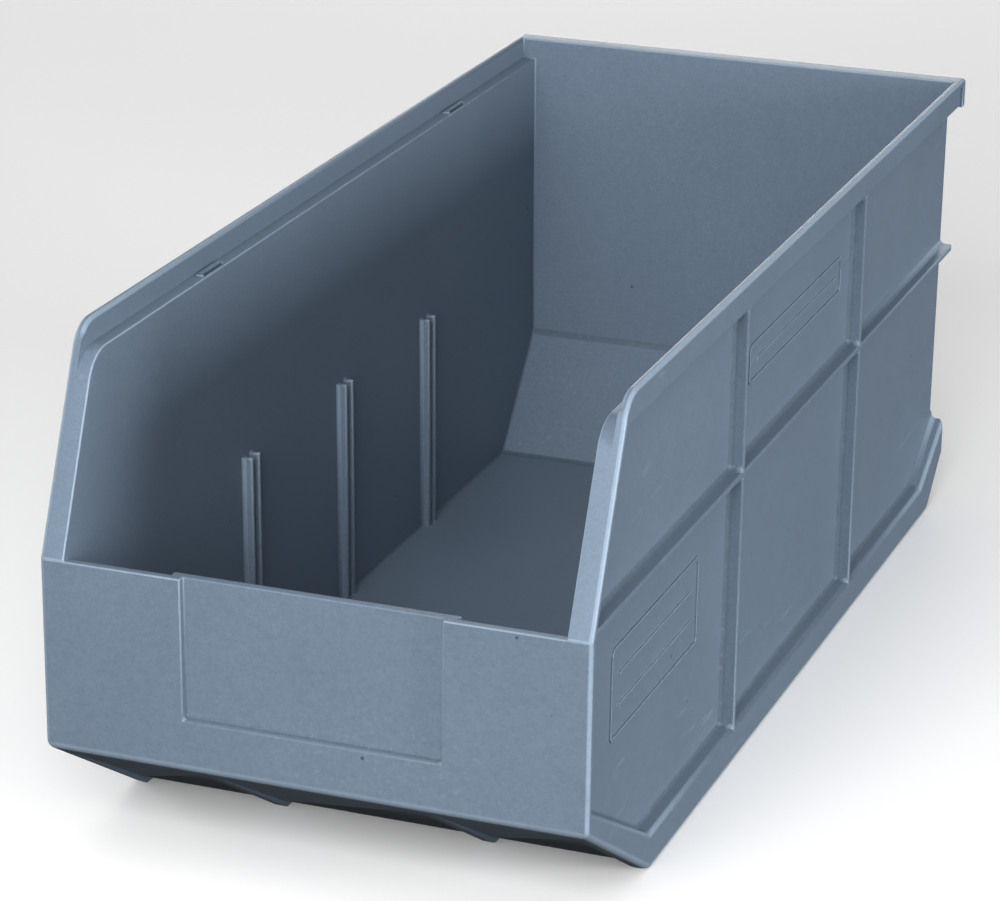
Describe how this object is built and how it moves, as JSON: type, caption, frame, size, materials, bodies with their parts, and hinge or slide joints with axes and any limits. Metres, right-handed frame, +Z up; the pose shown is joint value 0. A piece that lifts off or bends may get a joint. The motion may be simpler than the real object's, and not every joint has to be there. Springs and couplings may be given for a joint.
{
  "type": "stackable storage bin",
  "caption": "Moulded plastic hopper-front storage bin with a low front and label recess, sloping side edges, stacking ledges, inner divider guide ribs, base skirt and a rear hang lip.",
  "frame": {"origin": "on the shelf under the middle of the bin: the centre of the footprint box, at the runners' underside", "axes": "+X is the bin's right side, +Y its rear with the hang lip, +Z up; the low hopper front faces -Y"},
  "size_m": [0.19, 0.45, 0.178],
  "materials": {
    "outside": "satin moulded polypropylene, fine even grain",
    "rim": "satin moulded polypropylene, edges handled smooth and paler",
    "inside": "satin moulded polypropylene, fine even grain"
  },
  "bodies": {
    "root": {"floor_panel": "inside", "front_incline": "inside", "front_wall": "outside", "left_divider_rib_1": "inside", "left_divider_rib_2": "inside", "left_divider_rib_3": "inside", "left_divider_rib_4": "inside", "left_divider_rib_5": "inside", "left_divider_rib_6": "inside", "left_front_rib_lower": "outside", "left_front_rib_upper": "outside", "left_mid_rib": "outside", "left_rear_rib_lower": "outside", "left_rear_rib_upper": "outside", "left_rim_upstand": "rim", "left_runner": "outside", "left_skirt_base": "outside", "left_skirt_front": "outside", "left_skirt_rear": "outside", "left_slope_flange": "rim", "left_stacking_ledge": "rim", "left_wall": "outside", "rear_hang_lip": "rim", "rear_incline": "inside", "rear_rim": "inside", "rear_top_plate": "rim", "rear_wall": "inside", "right_divider_rib_1": "inside", "right_divider_rib_2": "inside", "right_divider_rib_3": "inside", "right_divider_rib_4": "inside", "right_divider_rib_5": "inside", "right_divider_rib_6": "inside", "right_front_rib_lower": "outside", "right_front_rib_upper": "outside", "right_mid_rib": "outside", "right_rear_rib_lower": "outside", "right_rear_rib_upper": "outside", "right_rim_upstand": "rim", "right_runner": "outside", "right_skirt_base": "outside", "right_skirt_front": "outside", "right_skirt_rear": "outside", "right_slope_flange": "rim", "right_stacking_ledge": "rim", "right_wall": "outside"}
  },
  "joints": []
}
